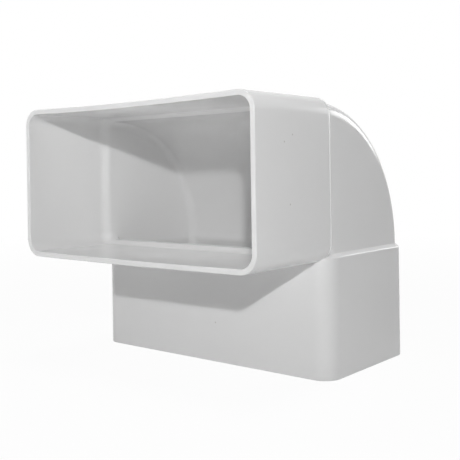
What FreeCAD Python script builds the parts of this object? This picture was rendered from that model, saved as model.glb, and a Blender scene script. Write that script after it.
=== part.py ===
# Rectangular PVC elbow, 90 degrees across its narrow side, moulded in one piece.
# Two equal sockets take a rectangular pipe each. A quarter-round bend of a smaller section joins them.
# Frame: millimetres, +Z up. The origin is the centre of the lower mouth, which rests on Z = 0.
# The lower socket opens towards -Z, the upper socket towards -Y, and X runs along the wide side.
import FreeCAD, Part
import os

import Sketcher

DOCUMENT = FreeCAD.newDocument("elbow")

# Driving dimensions, in millimetres.
DRIVING = [
    ("pipe_width", 110.0, "wide side of the pipe that slides in"),
    ("pipe_depth", 54.0, "narrow side of the pipe"),
    ("pipe_clearance", 0.2, "gap between pipe and socket on each side"),
    ("wall", 1.9, "wall of sockets and bend"),
    ("bore_corner_radius", 3.4, "inside corner radius of the bend"),
    ("stop_step", 1.5, "height of the stop that the pipe's end meets"),
    ("stop_run", 3.6, "length of the stop's slope along the socket"),
    ("stop_rounding", 5.0, "rounding where the stop's slope meets the socket and the bore"),
    ("stop_setback", 5.1, "from the start of the stop to the start of the outer shoulder"),
    ("socket_length", 43.2, "from the mouth to the start of the outer shoulder"),
    ("shoulder_run", 1.3, "length of the outer shoulder's slope along the socket"),
    ("shoulder_radius", 0.8, "rounding where the shoulder leaves the socket"),
    ("inner_bend_radius", 0.5, "radius of the passage at the inside of the bend"),
    ("lip_radius", 0.3, "rounding of the mouth's edges"),
]


def driving_sheet():
    """The sheet that holds the driving dimensions, one aliased cell each."""
    sheet = DOCUMENT.addObject("Spreadsheet::Sheet", "Sizes")
    for row, (alias, value, meaning) in enumerate(DRIVING, start=1):
        sheet.set(f"A{row}", str(value))
        sheet.setAlias(f"A{row}", alias)
        sheet.set(f"B{row}", meaning)
    DOCUMENT.recompute()
    return sheet


SIZES = driving_sheet()

# Sizes that follow from the driving dimensions, as expressions on the sheet.
SOCKET_WIDTH = "(Sizes.pipe_width + 2 * Sizes.pipe_clearance)"
SOCKET_DEPTH = "(Sizes.pipe_depth + 2 * Sizes.pipe_clearance)"
SOCKET_RADIUS = "(Sizes.bore_corner_radius + Sizes.stop_step)"
BORE_WIDTH = f"({SOCKET_WIDTH} - 2 * Sizes.stop_step)"
BORE_DEPTH = f"({SOCKET_DEPTH} - 2 * Sizes.stop_step)"
BORE_RADIUS = "Sizes.bore_corner_radius"
BEND_CENTRE = f"({BORE_DEPTH} / 2 + Sizes.inner_bend_radius)"
REACH = f"({BEND_CENTRE} + Sizes.shoulder_run + Sizes.socket_length)"
STOP_DEPTH = "(Sizes.socket_length - Sizes.stop_setback)"
SOCKET_END = "(Sizes.socket_length + Sizes.shoulder_run)"
LIP_SHARE = 0.45  # most of the wall that either edge of a mouth may take
LIP_RADIUS = f"min(Sizes.lip_radius; {LIP_SHARE} * Sizes.wall)"


def skin(size):
    """The outside of a wall whose inside has this width or depth."""
    return f"({size} + 2 * Sizes.wall)"


def skin_radius(radius):
    """The outside corner radius of a wall whose inside has this radius."""
    return f"({radius} + Sizes.wall)"


def value(expression):
    """The number that an expression on the sheet comes to."""
    return float(SIZES.evalExpression(expression))


def origin_plane(body, role):
    """One of a body's own origin planes."""
    return next(f for f in body.Origin.OriginFeatures if f.Role == role)


def level_sketch(body, name, height, forward="0"):
    """A horizontal sketch at a height, with its own origin moved forward along Y."""
    sketch = body.newObject("Sketcher::SketchObject", name)
    sketch.AttachmentSupport = [(origin_plane(body, "XY_Plane"), "")]
    sketch.MapMode = "FlatFace"
    sketch.setExpression("AttachmentOffset.Base.y", forward)
    sketch.setExpression("AttachmentOffset.Base.z", height)
    return sketch


def bind(sketch, constraint, expression):
    """Adds a dimensional constraint and ties it to an expression."""
    index = sketch.addConstraint(constraint)
    sketch.setExpression(f"Constraints[{index}]", expression)


def rounded_outline(sketch, width, low, high, radius):
    """The lines of a rounded rectangle that is centred on X and runs from low to high along Y.

    The lines come back in turn: bottom, right, top, left. Its width and radius are tied here,
    its two heights by the caller.
    """
    half_w, r = value(width) / 2, value(radius)
    places = ((-half_w, low), (half_w, low), (half_w, high), (-half_w, high))
    corners = [FreeCAD.Vector(x, y, 0) for x, y in places]
    ways = [FreeCAD.Vector(x, y, 0) for x, y in ((1, 0), (0, 1), (-1, 0), (0, -1))]
    lines, arcs = [], []
    for i in range(4):
        start, end = corners[i] + ways[i] * r, corners[(i + 1) % 4] - ways[i] * r
        lines.append(sketch.addGeometry(Part.LineSegment(start, end)))
    for i in range(4):
        centre = corners[i] + (ways[i] - ways[i - 1]) * r
        middle = centre + (ways[i - 1] - ways[i]).normalize() * r
        arc = Part.Arc(corners[i] - ways[i - 1] * r, middle, corners[i] + ways[i] * r)
        arcs.append(sketch.addGeometry(arc))
    for i in range(4):
        sketch.addConstraint(Sketcher.Constraint("Tangent", arcs[i], 2, lines[i], 1))
        sketch.addConstraint(Sketcher.Constraint("Tangent", lines[i - 1], 2, arcs[i], 1))
        sketch.addConstraint(Sketcher.Constraint("Horizontal" if i % 2 == 0 else "Vertical", lines[i]))
    for i in range(1, 4):
        sketch.addConstraint(Sketcher.Constraint("Equal", arcs[0], arcs[i]))
    bind(sketch, Sketcher.Constraint("Radius", arcs[0], r), radius)
    bind(sketch, Sketcher.Constraint("DistanceX", lines[3], 1, -1, 1, half_w), f"{width} / 2")
    bind(sketch, Sketcher.Constraint("DistanceX", -1, 1, lines[1], 1, half_w), f"{width} / 2")
    return lines


def rounded_rectangle(sketch, width, depth, radius):
    """A rounded rectangle centred on the sketch's origin."""
    half_d = value(depth) / 2
    lines = rounded_outline(sketch, width, -half_d, half_d, radius)
    bind(sketch, Sketcher.Constraint("DistanceY", lines[0], 1, -1, 1, half_d), f"{depth} / 2")
    bind(sketch, Sketcher.Constraint("DistanceY", -1, 1, lines[2], 1, half_d), f"{depth} / 2")


def bend_section(sketch, width, nearer, farther, radius):
    """A rounded rectangle between two distances from the sketch's horizontal axis."""
    low, high = value(nearer), value(farther)
    lines = rounded_outline(sketch, width, low, high, radius)
    bind(sketch, Sketcher.Constraint("DistanceY", -1, 1, lines[0], 1, low), nearer)
    bind(sketch, Sketcher.Constraint("DistanceY", -1, 1, lines[2], 1, high), farther)


def bend_section_on_axis(sketch, width, beyond, far, radius):
    """A rounded rectangle that would reach beyond the sketch's horizontal axis, trimmed by that axis."""
    half_w, over, high, r = value(width) / 2, value(beyond), value(far), value(radius)
    rise = r - over
    foot = half_w - r + (r * r - rise * rise) ** 0.5
    left, right = FreeCAD.Vector(-half_w + r, rise, 0), FreeCAD.Vector(half_w - r, rise, 0)
    across, upward = FreeCAD.Vector(1, 0, 0), FreeCAD.Vector(0, 1, 0)
    top_left = FreeCAD.Vector(-half_w + r, high - r, 0)
    top_right = FreeCAD.Vector(half_w - r, high - r, 0)
    slant = (across + upward).normalize() * r
    back_slant = (upward - across).normalize() * r
    foot_left, foot_right = FreeCAD.Vector(-foot, 0, 0), FreeCAD.Vector(foot, 0, 0)
    low_turn = (((foot_right - right).normalize() + across).normalize()) * r
    low_turn_left = FreeCAD.Vector(-low_turn.x, low_turn.y, 0)
    base = sketch.addGeometry(Part.LineSegment(foot_left, foot_right))
    low_right = sketch.addGeometry(Part.Arc(foot_right, right + low_turn, right + across * r))
    right_side = sketch.addGeometry(Part.LineSegment(right + across * r, top_right + across * r))
    right_arc = Part.Arc(top_right + across * r, top_right + slant, top_right + upward * r)
    high_right = sketch.addGeometry(right_arc)
    top = sketch.addGeometry(Part.LineSegment(top_right + upward * r, top_left + upward * r))
    left_arc = Part.Arc(top_left + upward * r, top_left + back_slant, top_left - across * r)
    high_left = sketch.addGeometry(left_arc)
    left_side = sketch.addGeometry(Part.LineSegment(top_left - across * r, left - across * r))
    low_left = sketch.addGeometry(Part.Arc(left - across * r, left + low_turn_left, foot_left))
    for first, second in ((low_right, right_side), (right_side, high_right), (high_right, top),
                          (top, high_left), (high_left, left_side), (left_side, low_left)):
        sketch.addConstraint(Sketcher.Constraint("Tangent", first, 2, second, 1))
    sketch.addConstraint(Sketcher.Constraint("Coincident", base, 2, low_right, 1))
    sketch.addConstraint(Sketcher.Constraint("Coincident", low_left, 2, base, 1))
    sketch.addConstraint(Sketcher.Constraint("PointOnObject", base, 1, -1))
    sketch.addConstraint(Sketcher.Constraint("Horizontal", base))
    sketch.addConstraint(Sketcher.Constraint("Vertical", right_side))
    sketch.addConstraint(Sketcher.Constraint("Vertical", left_side))
    sketch.addConstraint(Sketcher.Constraint("Horizontal", top))
    for arc in (high_right, high_left, low_left):
        sketch.addConstraint(Sketcher.Constraint("Equal", low_right, arc))
    sketch.addConstraint(Sketcher.Constraint("Symmetric", low_right, 3, low_left, 3, -2))
    bind(sketch, Sketcher.Constraint("Radius", low_right, r), radius)
    bind(sketch, Sketcher.Constraint("DistanceX", left_side, 1, right_side, 1, 2 * half_w), width)
    bind(sketch, Sketcher.Constraint("DistanceY", -1, 1, low_right, 3, rise), f"{radius} - {beyond}")
    bind(sketch, Sketcher.Constraint("DistanceY", -1, 1, top, 1, high), far)


def pad(body, name, sketch, length):
    """Pads a horizontal sketch upwards."""
    feature = body.newObject("PartDesign::Pad", name)
    feature.Profile = sketch
    feature.setExpression("Length", length)
    DOCUMENT.recompute()
    return feature


def slope(body, name, lower, upper):
    """A straight slope from one horizontal section up to another."""
    feature = body.newObject("PartDesign::AdditiveLoft", name)
    feature.Profile = lower
    feature.Sections = [upper]
    feature.Ruled = True
    DOCUMENT.recompute()
    return feature


def quarter_turn(body, name, sketch):
    """Turns a bend section a quarter of the way round, from the lower arm to the upper one."""
    feature = body.newObject("PartDesign::Revolution", name)
    feature.Profile = sketch
    feature.ReferenceAxis = (sketch, ["H_Axis"])
    feature.Angle = 90
    DOCUMENT.recompute()
    return feature


def mirror_to_upper_arm(body, name):
    """Doubles all that the body holds across the mitre plane between the two arms."""
    plane = body.newObject("PartDesign::Plane", name + "_plane")
    plane.AttachmentSupport = [(origin_plane(body, "XY_Plane"), "")]
    plane.MapMode = "FlatFace"
    plane.AttachmentOffset = FreeCAD.Placement(
        FreeCAD.Vector(0, 0, value(REACH)), FreeCAD.Rotation(FreeCAD.Vector(1, 0, 0), 45)
    )
    plane.setExpression("AttachmentOffset.Base.z", REACH)
    feature = body.newObject("PartDesign::Mirrored", name)
    feature.TransformMode = "Whole shape"
    feature.MirrorPlane = (plane, [""])
    body.Tip = feature
    DOCUMENT.recompute()
    return feature


def edges_where(feature, test):
    """Names of a feature's edges of which every point passes a test."""
    names = []
    for number, edge in enumerate(feature.Shape.Edges, start=1):
        if not edge.Degenerated and all(test(point) for point in edge.discretize(5)):
            names.append(f"Edge{number}")
    return names


def fillet(body, name, base, edges, radius):
    """Rounds named edges of the body's last feature."""
    feature = body.newObject("PartDesign::Fillet", name)
    feature.Base = (base, edges)
    feature.setExpression("Radius", radius)
    DOCUMENT.recompute()
    return feature


def near(a, b, tolerance=1e-4):
    """Whether two lengths agree."""
    return abs(a - b) < tolerance


def passage():
    """The hollow: two sockets, their stops and the bore that turns between them."""
    body = DOCUMENT.addObject("PartDesign::Body", "passage")
    bore_top = f"({REACH} - {BEND_CENTRE})"
    mouth = level_sketch(body, "socket_section", "0")
    rounded_rectangle(mouth, SOCKET_WIDTH, SOCKET_DEPTH, SOCKET_RADIUS)
    pad(body, "socket_hollow", mouth, STOP_DEPTH)
    stop_low = level_sketch(body, "stop_low_section", STOP_DEPTH)
    rounded_rectangle(stop_low, SOCKET_WIDTH, SOCKET_DEPTH, SOCKET_RADIUS)
    stop_high = level_sketch(body, "stop_high_section", f"({STOP_DEPTH} + Sizes.stop_run)")
    rounded_rectangle(stop_high, BORE_WIDTH, BORE_DEPTH, BORE_RADIUS)
    slope(body, "stop_slope", stop_low, stop_high)
    bore = level_sketch(body, "bore_section", f"({STOP_DEPTH} + Sizes.stop_run)")
    rounded_rectangle(bore, BORE_WIDTH, BORE_DEPTH, BORE_RADIUS)
    run = pad(body, "bore_run", bore, f"({bore_top} - {STOP_DEPTH} - Sizes.stop_run)")
    low, high = value(STOP_DEPTH), value(f"{STOP_DEPTH} + Sizes.stop_run")
    brinks = edges_where(run, lambda p: near(p.z, low))
    brinks += edges_where(run, lambda p: near(p.z, high))
    fillet(body, "stop_rounding", run, brinks, "Sizes.stop_rounding")
    mirror_to_upper_arm(body, "upper_passage")
    section = level_sketch(body, "bore_bend_section", bore_top, f"-{BEND_CENTRE}")
    farther = f"{BEND_CENTRE} + {BORE_DEPTH} / 2"
    bend_section(section, BORE_WIDTH, "Sizes.inner_bend_radius", farther, BORE_RADIUS)
    quarter_turn(body, "bore_bend", section)
    return body


def elbow(hollow):
    """The moulded piece: two socket skins with sloped shoulders, the bend, and the hollow cut out."""
    body = DOCUMENT.addObject("PartDesign::Body", "elbow")
    outer = (skin(SOCKET_WIDTH), skin(SOCKET_DEPTH), skin_radius(SOCKET_RADIUS))
    neck = (skin(BORE_WIDTH), skin(BORE_DEPTH), skin_radius(BORE_RADIUS))
    mouth = level_sketch(body, "skin_section", "0")
    rounded_rectangle(mouth, *outer)
    pad(body, "socket_skin", mouth, "Sizes.socket_length")
    shoulder_low = level_sketch(body, "shoulder_low_section", "Sizes.socket_length")
    rounded_rectangle(shoulder_low, *outer)
    shoulder_high = level_sketch(body, "shoulder_high_section", SOCKET_END)
    rounded_rectangle(shoulder_high, *neck)
    shoulder = slope(body, "shoulder", shoulder_low, shoulder_high)
    height = value("Sizes.socket_length")
    brink = edges_where(shoulder, lambda p: near(p.z, height))
    fillet(body, "shoulder_rounding", shoulder, brink, "Sizes.shoulder_radius")
    mirror_to_upper_arm(body, "upper_skin")
    section = level_sketch(body, "skin_bend_section", f"({REACH} - {BEND_CENTRE})", f"-{BEND_CENTRE}")
    beyond = "(Sizes.wall - Sizes.inner_bend_radius)"
    bend_section_on_axis(section, neck[0], beyond, f"({BEND_CENTRE} + {neck[1]} / 2)", neck[2])
    quarter_turn(body, "bend_skin", section)
    cut = body.newObject("PartDesign::Boolean", "hollowed")
    cut.Type = "Cut"
    cut.setObjects([hollow])
    body.Tip = cut
    DOCUMENT.recompute()
    reach = value(REACH)
    lips = edges_where(cut, lambda p: near(p.z, 0)) + edges_where(cut, lambda p: near(p.y, -reach))
    fillet(body, "lips", cut, lips, LIP_RADIUS)
    return body


def checked(document, bodies):
    """Stops the build if any object failed or any finished body isn't one valid solid."""
    for item in document.Objects:
        if "Invalid" in item.State or "Error" in item.State:
            raise RuntimeError(f"{item.Name} failed: {item.State}")
    for body in bodies:
        shape = body.Shape
        if shape.isNull() or not shape.isValid() or len(shape.Solids) != 1:
            raise RuntimeError(f"{body.Label} isn't one valid solid")


def main():
    """Builds the elbow and writes its file."""
    piece = elbow(passage())
    DOCUMENT.recompute()
    checked(DOCUMENT, [piece])
    os.makedirs("parts", exist_ok=True)
    piece.Shape.exportStep(f"parts/{piece.Label}.step")
    box = piece.Shape.optimalBoundingBox()
    print(f"{piece.Label}: volume {piece.Shape.Volume:.1f} mm3, faces {len(piece.Shape.Faces)}")
    print(f"from {box.XMin:.2f} {box.YMin:.2f} {box.ZMin:.2f}")
    print(f"to {box.XMax:.2f} {box.YMax:.2f} {box.ZMax:.2f}")


main()
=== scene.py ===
"""Looks of a rectangular PVC elbow, white, moulded in one piece, on a pale floor."""
import logging
from dataclasses import dataclass
from enum import Enum
from typing import Any

import bmesh
import bpy
import numpy as np
from mathutils import Matrix, Vector


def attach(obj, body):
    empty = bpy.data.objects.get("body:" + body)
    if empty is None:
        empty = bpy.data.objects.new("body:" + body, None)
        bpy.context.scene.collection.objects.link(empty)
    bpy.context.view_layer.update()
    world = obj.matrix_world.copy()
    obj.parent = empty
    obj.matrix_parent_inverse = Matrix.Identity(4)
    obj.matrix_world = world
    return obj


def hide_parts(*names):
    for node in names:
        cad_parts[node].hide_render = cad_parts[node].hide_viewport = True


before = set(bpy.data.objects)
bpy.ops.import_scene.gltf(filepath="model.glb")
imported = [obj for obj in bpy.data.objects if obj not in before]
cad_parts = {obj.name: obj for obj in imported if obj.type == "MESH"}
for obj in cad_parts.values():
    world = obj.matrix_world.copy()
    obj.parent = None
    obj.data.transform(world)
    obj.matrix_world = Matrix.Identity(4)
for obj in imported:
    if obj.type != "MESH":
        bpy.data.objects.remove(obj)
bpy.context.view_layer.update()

LOG = logging.getLogger("elbow")
MM = 0.001
IMAGE_SIDE = 460
WHITE = (1.0, 1.0, 1.0, 1.0)
# A Mix node's colour sockets go by number, since its other sockets share their names.
MIX_FIRST, MIX_SECOND, MIX_RESULT = 6, 7, 2
Point = tuple[float, float, float]


class LampShape(Enum):
    """Outline of a lamp's glowing face."""

    ROUND = "DISK"
    SQUARE = "SQUARE"


def linear(hex_colour: str) -> tuple[float, float, float, float]:
    """Turns an sRGB hex value into linear red, green, blue and alpha.

    Args:
        hex_colour: six hex digits after a hash sign.

    Returns:
        Linear colour with alpha 1, by the sRGB transfer curve.
    """
    parts = [int(hex_colour[i:i + 2], 16) / 255 for i in (1, 3, 5)]
    curve = [c / 12.92 if c <= 0.04045 else ((c + 0.055) / 1.055) ** 2.4 for c in parts]
    return (curve[0], curve[1], curve[2], 1.0)


def add_node(tree: bpy.types.NodeTree, kind: str, settings: dict[str, Any] | None = None,
             inputs: dict[Any, Any] | None = None) -> bpy.types.Node:
    """Adds a node with its settings, socket values and links.

    Args:
        tree: the tree that gets the node.
        kind: Blender's name of the node type.
        settings: the node's own properties.
        inputs: socket to value, or socket to another socket that feeds it.

    Returns:
        The new node.
    """
    node = tree.nodes.new(kind)
    for key, setting in (settings or {}).items():
        setattr(node, key, setting)
    for key, given in (inputs or {}).items():
        if isinstance(given, bpy.types.NodeSocket):
            tree.links.new(given, node.inputs[key])
        else:
            node.inputs[key].default_value = given
    return node


@dataclass(frozen=True)
class Noise:
    """Character of a noise pattern: its finer layers, their strength, and how far they are swirled."""

    detail: float
    roughness: float
    swirl: float = 0.0


@dataclass(frozen=True)
class MouldedPvc:
    """Rigid white PVC out of a polished mould: opaque, neutral white, with a close, even gloss.

    Close up it shows the mould's faint waves, a fine skin, slow changes of tone where the melt flowed,
    and a few dark specks of burnt resin.
    """

    name: str = "moulded_white_pvc"
    colour: str = "#F1F1F1"
    flow_tone: str = "#EDEDED"
    speck_tone: str = "#CFCDCA"
    ior: float = 1.53
    roughness: float = 0.18
    roughness_spread: float = 0.03
    flow_mm: float = 34.0
    wave_mm: float = 26.0
    wave_height_mm: float = 0.012
    skin_mm: float = 0.9
    skin_height_mm: float = 0.002
    flow_span: tuple[float, float] = (0.3, 0.7)
    flow_noise: Noise = Noise(3.0, 0.55, 0.6)
    wave_noise: Noise = Noise(1.0, 0.4)
    skin_noise: Noise = Noise(2.0, 0.5)
    speck_radius_mm: float = 0.35
    speck_edge: tuple[float, float] = (0.3, 1.3)
    specks_mm: tuple[Point, ...] = ((57.1, -54.9, 83.3), (57.1, -50.2, 85.7), (57.1, -52.0, 63.0),
                                    (5.7, -29.1, 15.3))

    def specks(self, tree: bpy.types.NodeTree, place: bpy.types.NodeSocket) -> bpy.types.NodeSocket:
        """Marks the specks by how near the closest of their points is.

        A speck is full up to the first share of its radius and gone past the second.

        Args:
            tree: the material's tree.
            place: Object coordinates.

        Returns:
            A socket that is 1 in a speck and 0 outside.
        """
        nearest = None
        for point in self.specks_mm:
            away = add_node(tree, "ShaderNodeVectorMath", {"operation": "DISTANCE"},
                            {0: place, 1: tuple(c * MM for c in point)}).outputs["Value"]
            if nearest is not None:
                away = add_node(tree, "ShaderNodeMath", {"operation": "MINIMUM"},
                                {0: nearest, 1: away}).outputs[0]
            nearest = away
        full, gone = (share * self.speck_radius_mm * MM for share in self.speck_edge)
        inside = add_node(tree, "ShaderNodeMapRange", {"interpolation_type": "SMOOTHSTEP"},
                          {"Value": nearest, "From Min": full, "From Max": gone,
                           "To Min": 1.0, "To Max": 0.0})
        return inside.outputs["Result"]

    def pattern(self, tree: bpy.types.NodeTree, place: bpy.types.NodeSocket, size_mm: float,
                noise: Noise) -> bpy.types.NodeSocket:
        """Lays a noise pattern at a real size.

        Args:
            tree: the material's tree.
            place: Object coordinates.
            size_mm: size of the pattern's largest patches.
            noise: the pattern's character.

        Returns:
            A socket with the pattern, around a half.
        """
        node = add_node(tree, "ShaderNodeTexNoise", {"noise_dimensions": "3D"},
                        {"Vector": place, "Scale": 1 / (size_mm * MM), "Detail": noise.detail,
                         "Roughness": noise.roughness, "Distortion": noise.swirl})
        return node.outputs["Fac"]

    def build(self) -> bpy.types.Material:
        """Builds the material on Object coordinates, each pattern at its real size.

        Returns:
            The node material.
        """
        material = bpy.data.materials.new(self.name)
        material.use_nodes = True
        tree = material.node_tree
        tree.nodes.clear()
        place = add_node(tree, "ShaderNodeTexCoord").outputs["Object"]
        flow = self.pattern(tree, place, self.flow_mm, self.flow_noise)
        waves = self.pattern(tree, place, self.wave_mm, self.wave_noise)
        skin = self.pattern(tree, place, self.skin_mm, self.skin_noise)
        tone = add_node(tree, "ShaderNodeMix", {"data_type": "RGBA"},
                        {"Factor": flow, MIX_FIRST: linear(self.colour),
                         MIX_SECOND: linear(self.flow_tone)})
        speckled = add_node(tree, "ShaderNodeMix", {"data_type": "RGBA"},
                            {"Factor": self.specks(tree, place), MIX_FIRST: tone.outputs[MIX_RESULT],
                             MIX_SECOND: linear(self.speck_tone)})
        gloss = add_node(tree, "ShaderNodeMapRange", None,
                         {"Value": flow, "From Min": self.flow_span[0], "From Max": self.flow_span[1],
                          "To Min": self.roughness - self.roughness_spread,
                          "To Max": self.roughness + self.roughness_spread})
        wave_bump = add_node(tree, "ShaderNodeBump", None,
                             {"Height": waves, "Distance": self.wave_height_mm * MM, "Strength": 1.0})
        skin_bump = add_node(tree, "ShaderNodeBump", None,
                             {"Height": skin, "Distance": self.skin_height_mm * MM, "Strength": 1.0,
                              "Normal": wave_bump.outputs["Normal"]})
        shader = add_node(tree, "ShaderNodeBsdfPrincipled", None,
                          {"Base Color": speckled.outputs[MIX_RESULT],
                           "Roughness": gloss.outputs["Result"],
                           "IOR": self.ior, "Normal": skin_bump.outputs["Normal"]})
        add_node(tree, "ShaderNodeOutputMaterial", None, {"Surface": shader.outputs["BSDF"]})
        return material


@dataclass
class Elbow:
    """The moulded elbow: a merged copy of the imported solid, with the slack of its upper mouth.

    The long walls of the upper mouth cooled a little hollow: both sag towards the floor at mid-width,
    the top one more, and the sag fades from the rim to the shoulder.
    """

    node: str = "elbow"
    body: str = "root"
    slot: str = "white_pvc"
    rim_y_mm: float = -70.7
    shoulder_y_mm: float = -27.5
    half_width_mm: float = 57.1
    mouth_low_mm: float = 41.6
    mouth_high_mm: float = 99.8
    top_sag_mm: float = 0.85
    bottom_sag_mm: float = 0.3
    longest_edge_mm: float = 8.0
    split_rounds: int = 4
    merge_mm: float = 0.001

    def merged_copy(self, source: bpy.types.Object) -> bpy.types.Object:
        """Copies the solid's mesh, joins its loose triangles and splits the socket's long edges.

        The solid's own normals go along in a corner attribute, since they shade its roundings.

        Args:
            source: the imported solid.

        Returns:
            The new object, at the origin.
        """
        mesh = source.data.copy()
        mesh.name = self.node + "_skin"
        normals = np.empty(len(mesh.loops) * 3, dtype=np.float32)
        mesh.corner_normals.foreach_get("vector", normals)
        mesh.attributes.new("cad_normal", "FLOAT_VECTOR", "CORNER").data.foreach_set("vector", normals)
        shell = bmesh.new()
        shell.from_mesh(mesh)
        bmesh.ops.remove_doubles(shell, verts=shell.verts, dist=self.merge_mm * MM)
        edge = self.shoulder_y_mm * MM
        limit = self.longest_edge_mm * MM
        for _ in range(self.split_rounds):
            long_edges = [e for e in shell.edges
                          if e.calc_length() > limit and min(v.co.y for v in e.verts) < edge]
            bmesh.ops.subdivide_edges(shell, edges=long_edges, cuts=1)
            bmesh.ops.triangulate(shell, faces=[f for f in shell.faces if len(f.verts) > 3])
        shell.to_mesh(mesh)
        shell.free()
        piece = bpy.data.objects.new(mesh.name, mesh)
        bpy.context.collection.objects.link(piece)
        return piece

    def sag(self, mesh: bpy.types.Mesh) -> None:
        """Lowers the upper socket's long walls, and turns the normals with them.

        The drop is a parabola over the width, zero at the side walls, times a straight run from the
        shoulder to the rim, times a straight run of depth from the bottom wall to the top wall.
        A normal loses the slope that the drop gives a level wall, times its own upright part.

        Args:
            mesh: the merged copy.
        """
        spots = np.empty(len(mesh.vertices) * 3, dtype=np.float32)
        mesh.vertices.foreach_get("co", spots)
        spots = spots.reshape(-1, 3) / MM
        x, y, z = spots.T
        run = self.shoulder_y_mm - self.rim_y_mm
        height = (z - self.mouth_low_mm) / (self.mouth_high_mm - self.mouth_low_mm)
        along = np.clip((self.shoulder_y_mm - y) / run, 0.0, 1.0)
        across = 1.0 - np.minimum(np.abs(x) / self.half_width_mm, 1.0) ** 2
        deep = self.bottom_sag_mm + (self.top_sag_mm - self.bottom_sag_mm) * height
        inside = along > 0.0
        slope = np.stack((deep * along * 2.0 * x / self.half_width_mm ** 2,
                          inside * deep * across / run,
                          np.zeros_like(x)), axis=1)
        spots[:, 2] -= deep * across * along
        mesh.vertices.foreach_set("co", (spots * MM).ravel())
        normals = np.empty(len(mesh.loops) * 3, dtype=np.float32)
        mesh.attributes["cad_normal"].data.foreach_get("vector", normals)
        normals = normals.reshape(-1, 3)
        corner = np.empty(len(mesh.loops), dtype=np.int32)
        mesh.loops.foreach_get("vertex_index", corner)
        normals -= slope[corner] * normals[:, 2:3]
        normals /= np.linalg.norm(normals, axis=1, keepdims=True)
        mesh.attributes.remove(mesh.attributes["cad_normal"])
        mesh.polygons.foreach_set("use_smooth", np.ones(len(mesh.polygons), dtype=bool))
        mesh.normals_split_custom_set(normals)
        mesh.update()

    def build(self) -> bpy.types.Object:
        """Makes the copy, sags it, dresses it and puts it in the solid's place.

        Returns:
            The dressed object.
        """
        piece = self.merged_copy(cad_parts[self.node])
        self.sag(piece.data)
        piece.data.materials.clear()
        piece.data.materials.append(MouldedPvc().build())
        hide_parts(self.node)
        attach(piece, self.body)
        return piece


@dataclass
class PartingBead:
    """The fine bead that the mould's parting left along the upper socket's shoulder."""

    name: str = "parting_bead"
    body: str = "root"
    slot: str = "white_pvc"
    y_mm: float = -26.75
    centre_z_mm: float = 70.7
    half_width_mm: float = 56.6
    half_height_mm: float = 28.6
    corner_mm: float = 6.3
    radius_mm: float = 0.5
    corner_steps: int = 10
    ring_steps: int = 12

    def path(self) -> tuple[np.ndarray, np.ndarray]:
        """Works out the bead's middle line: a rounded rectangle, with a quarter circle at each corner.

        Returns:
            The line's points in width and height, and the outward direction at each.
        """
        turn = np.linspace(0.0, np.pi / 2, self.corner_steps)
        angle = (np.arange(4)[:, None] * np.pi / 2 + turn[None, :]).ravel()
        out = np.stack((np.cos(angle), np.sin(angle)), axis=1)
        side = np.repeat(np.array([(1, 1), (-1, 1), (-1, -1), (1, -1)]), self.corner_steps, axis=0)
        inner = np.array((self.half_width_mm, self.half_height_mm)) - self.corner_mm
        return side * inner + self.corner_mm * out, out

    def build(self, material: bpy.types.Material) -> bpy.types.Object:
        """Carries a circle along the line, in the plane of the outward and the pipe direction.

        Args:
            material: the elbow's own finish.

        Returns:
            The bead object.
        """
        line, out = self.path()
        ring = np.linspace(0.0, 2 * np.pi, self.ring_steps, endpoint=False)
        away = self.radius_mm * np.cos(ring)
        flat = line[:, None, :] + away[None, :, None] * out[:, None, :]
        deep = np.broadcast_to(self.y_mm + self.radius_mm * np.sin(ring), flat.shape[:2])
        spots = np.stack((flat[..., 0], deep, self.centre_z_mm + flat[..., 1]), axis=-1) * MM
        count = len(line)
        here, step = np.meshgrid(np.arange(count), np.arange(self.ring_steps), indexing="ij")
        after, turned = (here + 1) % count, (step + 1) % self.ring_steps
        quads = np.stack((here * self.ring_steps + step, here * self.ring_steps + turned,
                          after * self.ring_steps + turned, after * self.ring_steps + step), axis=-1)
        mesh = bpy.data.meshes.new(self.name)
        mesh.from_pydata(spots.reshape(-1, 3).tolist(), [], quads.reshape(-1, 4).tolist())
        mesh.polygons.foreach_set("use_smooth", np.ones(len(mesh.polygons), dtype=bool))
        mesh.materials.append(material)
        bead = bpy.data.objects.new(self.name, mesh)
        bpy.context.collection.objects.link(bead)
        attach(bead, self.body)
        return bead


@dataclass
class PhotoCamera:
    """The photograph's camera, as its edges and corners place it, with the frame cut off centre."""

    place_mm: Point = (198.62, -260.64, 73.81)
    right: Point = (0.75725, 0.65296, -0.01516)
    up: Point = (0.00765, 0.01435, 0.99987)
    focal_px: float = 774.21
    centre_px: tuple[float, float] = (200.09, 177.02)
    sensor_mm: float = 36.0
    nearest_mm: float = 10.0

    def build(self) -> bpy.types.Object:
        """Makes the camera and hands it to the scene.

        Returns:
            The camera object.
        """
        data = bpy.data.cameras.new("photo_camera")
        data.sensor_width = self.sensor_mm
        data.lens = self.focal_px / IMAGE_SIDE * self.sensor_mm
        data.shift_x = 0.5 - self.centre_px[0] / IMAGE_SIDE
        data.shift_y = self.centre_px[1] / IMAGE_SIDE - 0.5
        data.clip_start = self.nearest_mm * MM
        camera = bpy.data.objects.new("photo_camera", data)
        right, up = Vector(self.right).normalized(), Vector(self.up)
        back = right.cross(up).normalized()
        up = back.cross(right)
        turn = Matrix((right, up, back)).transposed().to_4x4()
        camera.matrix_world = Matrix.Translation(Vector(self.place_mm) * MM) @ turn
        bpy.context.collection.objects.link(camera)
        bpy.context.scene.camera = camera
        return camera


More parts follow.
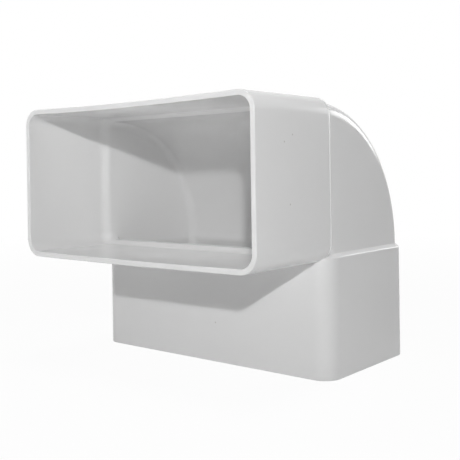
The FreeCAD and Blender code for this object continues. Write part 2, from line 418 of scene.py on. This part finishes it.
@dataclass(frozen=True)
class Lamp:
    """An area lamp. Unless it is told otherwise, it faces the elbow's middle."""

    name: str
    place_mm: Point
    wide_mm: float
    watts: float
    shape: LampShape = LampShape.ROUND
    glints: bool = True
    aim_mm: Point = (0.0, -25.0, 55.0)

    def build(self) -> bpy.types.Object:
        """Hangs the lamp.

        Returns:
            The lamp object.
        """
        data = bpy.data.lights.new(self.name, "AREA")
        data.shape = self.shape.value
        data.size = self.wide_mm * MM
        data.energy = self.watts
        lamp = bpy.data.objects.new(self.name, data)
        place = Vector(self.place_mm) * MM
        aim = Vector(self.aim_mm) * MM - place
        turn = aim.to_track_quat("-Z", "Y").to_matrix().to_4x4()
        lamp.matrix_world = Matrix.Translation(place) @ turn
        lamp.visible_glossy = self.glints
        bpy.context.collection.objects.link(lamp)
        return lamp


@dataclass
class Studio:
    """White surroundings: a small flash above the lens, soft lamps round the elbow and even light.

    The flash throws the hard shadows. The mouth, left and inside lights only soften them.
    """

    floor_side_m: float = 6.0
    floor_tone: str = "#D8D8D8"
    floor_veil: float = 0.96
    shade_ends_mm: tuple[float, float] = (150.0, 600.0)
    even_level: float = 0.02
    lamps: tuple[Lamp, ...] = (
        Lamp("flash", (249.0, -312.0, 162.7), 12.0, 0.61),
        Lamp("mouth_light", (-40.0, -200.0, 150.0), 140.0, 0.065, glints=False),
        Lamp("left_light", (-220.0, -170.0, 40.0), 140.0, 0.088, glints=False),
        Lamp("inside_light", (0.0, -67.0, 74.0), 44.0, 0.0049, glints=False,
             aim_mm=(0.0, 0.0, 82.0)),
        Lamp("back_light", (330.0, 900.0, 330.0), 350.0, 1.5),
        Lamp("top_light", (60.0, 0.0, 1500.0), 300.0, 8.5, LampShape.SQUARE))

    def seen_white(self, tree: bpy.types.NodeTree) -> bpy.types.NodeSocket:
        """Tells the rays that the eye sees, straight or in a gloss or through glass.

        Args:
            tree: the tree that asks.

        Returns:
            A socket that is 1 for those rays and 0 for the rest.
        """
        path = add_node(tree, "ShaderNodeLightPath").outputs
        mirrored = add_node(tree, "ShaderNodeMath", {"operation": "MAXIMUM"},
                            {0: path["Is Glossy Ray"], 1: path["Is Transmission Ray"]})
        seen = add_node(tree, "ShaderNodeMath", {"operation": "MAXIMUM"},
                        {0: path["Is Camera Ray"], 1: mirrored.outputs[0]})
        return seen.outputs[0]

    def floor(self) -> bpy.types.Object:
        """Lays the pale floor: white to the eye, and a little darker where the elbow shades it.

        The shade is let through near the elbow and fades out over the shade's two ends, measured
        from the elbow's foot, so that the floor runs into the white behind it.

        Returns:
            The floor object.
        """
        half = self.floor_side_m / 2
        mesh = bpy.data.meshes.new("floor")
        corners = [(-half, -half, 0), (half, -half, 0), (half, half, 0), (-half, half, 0)]
        mesh.from_pydata(corners, [], [(0, 1, 2, 3)])
        floor = bpy.data.objects.new("floor", mesh)
        bpy.context.collection.objects.link(floor)
        material = bpy.data.materials.new("pale_floor")
        material.use_nodes = True
        tree = material.node_tree
        tree.nodes.clear()
        matt = add_node(tree, "ShaderNodeBsdfDiffuse", None, {"Color": linear(self.floor_tone)})
        white = add_node(tree, "ShaderNodeEmission", None, {"Color": WHITE, "Strength": 1.0})
        place = add_node(tree, "ShaderNodeTexCoord")
        away = add_node(tree, "ShaderNodeVectorMath", {"operation": "LENGTH"},
                        {0: place.outputs["Object"]})
        near_end, far_end = (end * MM for end in self.shade_ends_mm)
        fade = add_node(tree, "ShaderNodeMapRange", None,
                        {"Value": away.outputs["Value"], "From Min": near_end, "From Max": far_end,
                         "To Min": self.floor_veil, "To Max": 1.0})
        veil = add_node(tree, "ShaderNodeMath", {"operation": "MULTIPLY"},
                        {0: self.seen_white(tree), 1: fade.outputs["Result"]})
        mixed = add_node(tree, "ShaderNodeMixShader", None,
                         {"Fac": veil.outputs[0], 1: matt.outputs[0], 2: white.outputs[0]})
        add_node(tree, "ShaderNodeOutputMaterial", None, {"Surface": mixed.outputs[0]})
        mesh.materials.append(material)
        return floor

    def world(self) -> None:
        """Sets even light from all round, and white where the eye or a reflection meets it."""
        world = bpy.data.worlds.new("white_room")
        world.use_nodes = True
        tree = world.node_tree
        tree.nodes.clear()
        level = add_node(tree, "ShaderNodeMapRange", None,
                         {"Value": self.seen_white(tree), "To Min": self.even_level, "To Max": 1.0})
        sky = add_node(tree, "ShaderNodeBackground", None,
                       {"Color": WHITE, "Strength": level.outputs["Result"]})
        add_node(tree, "ShaderNodeOutputWorld", None, {"Surface": sky.outputs[0]})
        bpy.context.scene.world = world

    def build(self) -> None:
        """Lays the floor, hangs the lamps and sets the surroundings."""
        self.floor()
        for lamp in self.lamps:
            lamp.build()
            LOG.info("%s hung, %.4g W", lamp.name, lamp.watts)
        self.world()
        bpy.context.scene.view_settings.view_transform = "Standard"


def main() -> None:
    """Dresses the elbow, then sets the studio and the camera round it."""
    logging.basicConfig(level=logging.INFO, format="%(name)s: %(message)s")
    piece = Elbow().build()
    LOG.info("%s dressed in %s", piece.name, piece.data.materials[0].name)
    bead = PartingBead().build(piece.data.materials[0])
    LOG.info("%s laid", bead.name)
    Studio().build()
    camera = PhotoCamera().build()
    LOG.info("%s set, lens %.1f mm", camera.name, camera.data.lens)


if __name__ == "__main__":
    main()
